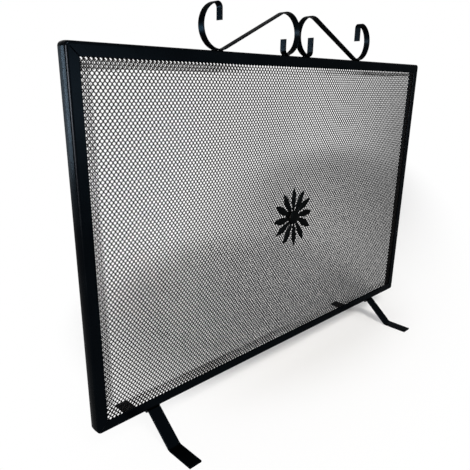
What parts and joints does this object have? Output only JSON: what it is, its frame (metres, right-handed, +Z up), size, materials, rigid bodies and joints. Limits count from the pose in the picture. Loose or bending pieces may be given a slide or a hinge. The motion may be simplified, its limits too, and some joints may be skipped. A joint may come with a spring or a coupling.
{
  "type": "fireplace screen",
  "caption": "Free-standing hearth screen: angle-iron frame with woven wire mesh, welded scrolls on top, a petalled flower on the mesh and arched flat-bar feet.",
  "frame": {"origin": "on the floor, under the middle of the screen and midway between the ends of the toes", "axes": "+X along the screen to the right as seen from the front, +Y to the back, +Z up"},
  "size_m": [0.995, 0.244, 0.774],
  "materials": {
    "black_paint": "satin black paint over mild steel",
    "black_mesh": "matt black paint over woven steel wire",
    "flower_black": "satin black paint over pressed sheet steel",
    "black_hardware": "black paint over steel hardware",
    "painted_weld": "weld beads painted over with the frame"
  },
  "bodies": {
    "root": {"top_rail": "black_paint", "bottom_rail": "black_paint", "left_stile": "black_paint", "right_stile": "black_paint", "corner_welds": "painted_weld", "mesh_panel": "black_mesh", "top_retainer": "black_paint", "bottom_retainer": "black_paint", "left_retainer": "black_paint", "right_retainer": "black_paint", "retainer_welds": "painted_weld", "left_scroll": "black_paint", "right_scroll": "black_paint", "scroll_welds": "painted_weld", "petal_plate": "flower_black", "dome_bolt": "flower_black", "spacer_collar": "black_hardware", "back_washer": "black_hardware", "bolt_nut": "black_hardware", "left_foot": "black_paint", "right_foot": "black_paint", "foot_welds": "painted_weld"}
  },
  "joints": []
}
